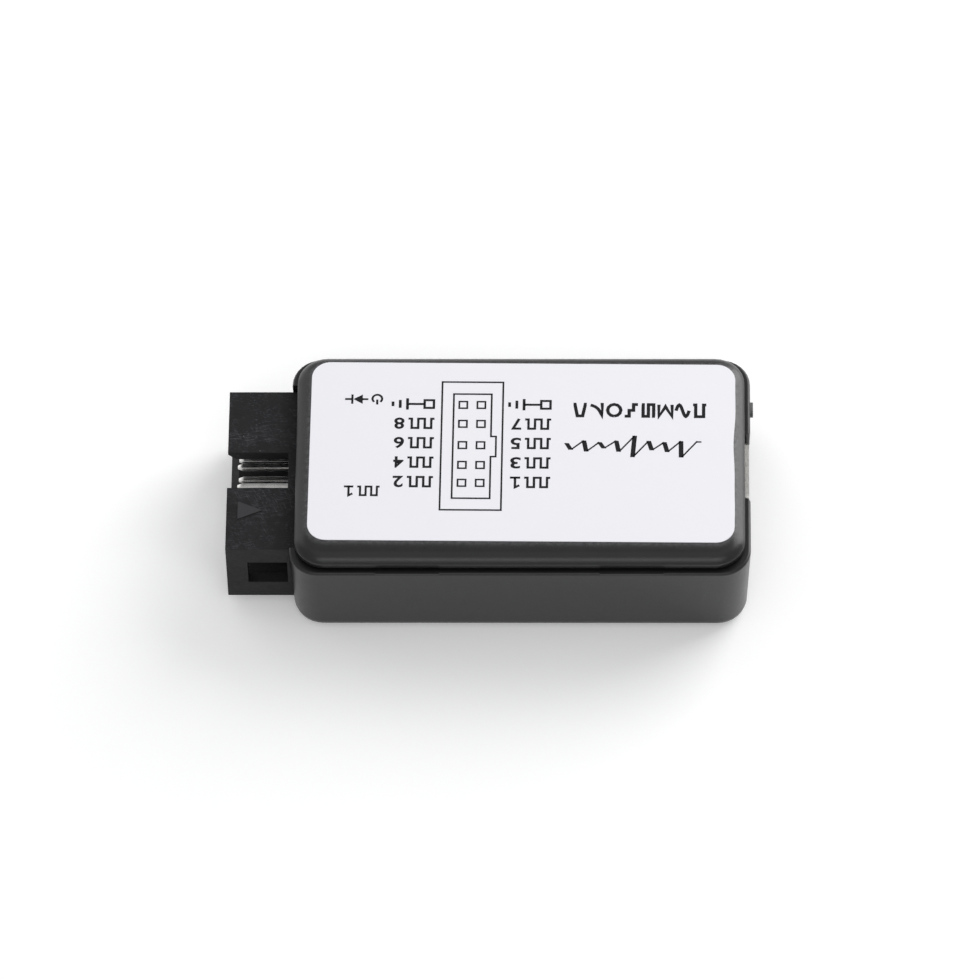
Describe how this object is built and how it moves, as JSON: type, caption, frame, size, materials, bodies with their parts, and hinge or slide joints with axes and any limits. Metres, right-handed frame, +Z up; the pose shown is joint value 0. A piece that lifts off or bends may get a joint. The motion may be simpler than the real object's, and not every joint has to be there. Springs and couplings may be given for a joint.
{
  "type": "logic analyzer",
  "caption": "Pocket USB logic analyzer: a snap-together black case with a labelled lid, a shrouded pin header at one end and a mini-USB socket at the other.",
  "frame": {"origin": "under the middle of the whole object's bounding box, on the surface it stands on", "axes": "+X along the case towards the mini-USB socket, -X towards the probe header, +Z up through the label; +Y completes the frame"},
  "size_m": [0.0566, 0.0278, 0.0131],
  "materials": {
    "case_plastic": "fine satin moulded ABS",
    "label_film": "satin white film with thin black print",
    "header_plastic": "satin glass-filled nylon with fine scratches",
    "board_laminate": "blue solder mask",
    "socket_metal": "nickel-plated sheet",
    "socket_plastic": "moulded, matt",
    "chip_resin": "moulded epoxy",
    "resistor_ceramic": "glazed",
    "capacitor_ceramic": "fired ceramic",
    "crystal_metal": "drawn can",
    "led_lens_red": "clear lens",
    "led_lens_green": "clear lens",
    "tantalum_resin": "moulded",
    "fuse_laminate": "laminate",
    "pin_tin": "bright tin plating",
    "contact_gold": "gold flash"
  },
  "bodies": {
    "case": {"lower_shell": "case_plastic", "header_housing": "header_plastic", "circuit_board": "board_laminate", "usb_shell": "socket_metal", "usb_insulator": "socket_plastic", "usb_microcontroller": "chip_resin", "bus_buffer": "chip_resin", "memory_chip": "chip_resin", "voltage_regulator": "chip_resin", "quartz_crystal": "crystal_metal", "crystal_seat": "socket_plastic", "power_led": "led_lens_red", "channel_1_led": "led_lens_green", "tantalum_capacitor": "tantalum_resin", "resettable_fuse": "fuse_laminate", "header_pin_1": "pin_tin", "header_pin_2": "pin_tin", "header_pin_3": "pin_tin", "header_pin_4": "pin_tin", "header_pin_5": "pin_tin", "header_pin_6": "pin_tin", "header_pin_7": "pin_tin", "header_pin_8": "pin_tin", "header_pin_9": "pin_tin", "header_pin_10": "pin_tin", "usb_contact_1": "contact_gold", "usb_contact_2": "contact_gold", "usb_contact_3": "contact_gold", "usb_contact_4": "contact_gold", "usb_contact_5": "contact_gold", "resistor_array_1": "chip_resin", "resistor_array_2": "chip_resin", "resistor_1": "resistor_ceramic", "resistor_2": "resistor_ceramic", "resistor_3": "resistor_ceramic", "capacitor_1": "capacitor_ceramic", "capacitor_2": "capacitor_ceramic", "capacitor_3": "capacitor_ceramic", "capacitor_4": "capacitor_ceramic"},
    "cover": {"top_cover": "case_plastic", "label": "label_film"}
  },
  "joints": [
    {"name": "cover_lift", "type": "slide", "parent": "case", "child": "cover", "axis": [0, 0, 1], "range_m": [0, 0.02]}
  ]
}
